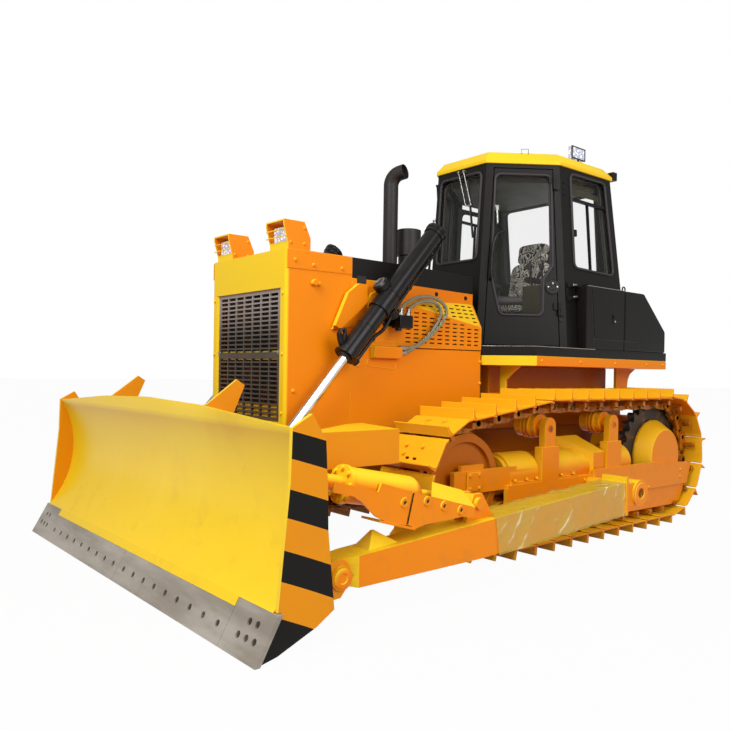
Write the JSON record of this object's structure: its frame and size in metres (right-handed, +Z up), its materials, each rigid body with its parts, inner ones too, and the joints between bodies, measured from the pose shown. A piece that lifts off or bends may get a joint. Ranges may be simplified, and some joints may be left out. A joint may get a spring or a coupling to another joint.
{
  "type": "crawler bulldozer",
  "caption": "Crawler bulldozer with a straight tilt blade that lifts on two cylinders, a closed cab with opening side doors, and steel tracks.",
  "frame": {"origin": "centre of the machine's plan at ground level", "axes": "+X forward to the blade, +Y to the machine's left, +Z up"},
  "size_m": [5.14, 3.388, 3.212],
  "materials": {
    "paint_yellow": "gloss yellow paint",
    "paint_orange": "gloss orange-yellow paint",
    "track_orange": "painted track chain and shoes",
    "paint_black": "satin black paint",
    "iron": "raw casting",
    "core_black": "matt black fins",
    "grille_grey": "grey paint",
    "exhaust_black": "heat-proof black",
    "lamp_lens": "clear lens",
    "window_glass": "clear tinted glass",
    "seat_cloth": "patterned cover",
    "cab_plastic": "black moulded plastic",
    "edge_steel": "rolled steel",
    "chrome_rod": "polished chrome"
  },
  "bodies": {
    "root": {"main_frame": "paint_orange", "rear_case": "paint_orange", "cross_bars": "paint_orange", "drawbar": "paint_orange", "engine_block": "iron", "radiator_guard": "paint_orange", "radiator_core": "core_black", "grille": "grille_grey", "hood_top": "paint_black", "side_plates": "paint_orange", "vent_panels": "paint_orange", "exhaust_pipe": "exhaust_black", "air_precleaner": "paint_black", "lamp_guards": "paint_orange", "headlamps": "lamp_lens", "cab_shell": "paint_black", "cab_roof": "paint_yellow", "cab_glass": "window_glass", "seat": "seat_cloth", "consoles": "cab_plastic", "deck": "paint_orange", "platform": "paint_black", "manifold": "paint_orange", "fuel_tank": "paint_black", "side_boxes": "paint_black", "work_lamp": "lamp_lens", "track_frame_left": "paint_orange", "track_frame_right": "paint_orange", "track_left": "track_orange", "track_right": "track_orange", "idlers": "paint_orange", "sprockets": "paint_orange", "final_drives": "paint_orange", "bottom_rollers": "paint_orange", "carrier_rollers": "paint_orange", "lift_yokes": "paint_orange"},
    "blade_frame": {"blade": "paint_yellow", "cutting_edges": "edge_steel", "push_arm_left": "paint_orange", "push_arm_right": "paint_orange", "tilt_cylinder": "paint_orange", "tilt_guard": "paint_orange", "brace_right": "paint_orange"},
    "lift_barrel_left": {"lift_barrel_left": "paint_black"},
    "lift_barrel_right": {"lift_barrel_right": "paint_black"},
    "lift_rod_left": {"lift_rod_left": "chrome_rod"},
    "lift_rod_right": {"lift_rod_right": "chrome_rod"},
    "door_left": {"door_left": "paint_black", "door_glass_left": "window_glass"},
    "door_right": {"door_right": "paint_black", "door_glass_right": "window_glass"}
  },
  "joints": [
    {"name": "blade_lift", "type": "hinge", "parent": "root", "child": "blade_frame", "pos_m": [-0.629, 0, 0.413], "axis": [0, -1, 0], "range_deg": [-9.7, 20]},
    {"name": "lift_barrel_left_swing", "type": "hinge", "parent": "root", "child": "lift_barrel_left", "pos_m": [1.022, 0.62, 1.72], "axis": [0, -1, 0], "range_deg": [-12.2, 25]},
    {"name": "lift_rod_left_slide", "type": "slide", "parent": "lift_barrel_left", "child": "lift_rod_left", "axis": [0.6551, 0, -0.7556], "range_m": [-0.722, 0.351]},
    {"name": "lift_barrel_right_swing", "type": "hinge", "parent": "root", "child": "lift_barrel_right", "pos_m": [1.022, -0.62, 1.72], "axis": [0, -1, 0], "range_deg": [-12.2, 25]},
    {"name": "lift_rod_right_slide", "type": "slide", "parent": "lift_barrel_right", "child": "lift_rod_right", "axis": [0.6551, 0, -0.7556], "range_m": [-0.722, 0.351]},
    {"name": "door_left_hinge", "type": "hinge", "parent": "root", "child": "door_left", "pos_m": [-0.73735, 0.74031, 1.491], "axis": [0.0075, -0.0643, 0.9979], "range_deg": [0, 150]},
    {"name": "door_right_hinge", "type": "hinge", "parent": "root", "child": "door_right", "pos_m": [-0.73735, -0.74031, 1.491], "axis": [-0.0075, -0.0643, -0.9979], "range_deg": [0, 150]}
  ],
  "couplings": [
    {"joint": "lift_barrel_left_swing", "follows": "blade_lift", "ratio": 1.24},
    {"joint": "lift_rod_left_slide", "follows": "blade_lift", "m_per_rad": -2.0627},
    {"joint": "lift_barrel_right_swing", "follows": "blade_lift", "ratio": 1.24},
    {"joint": "lift_rod_right_slide", "follows": "blade_lift", "m_per_rad": -2.0627}
  ]
}
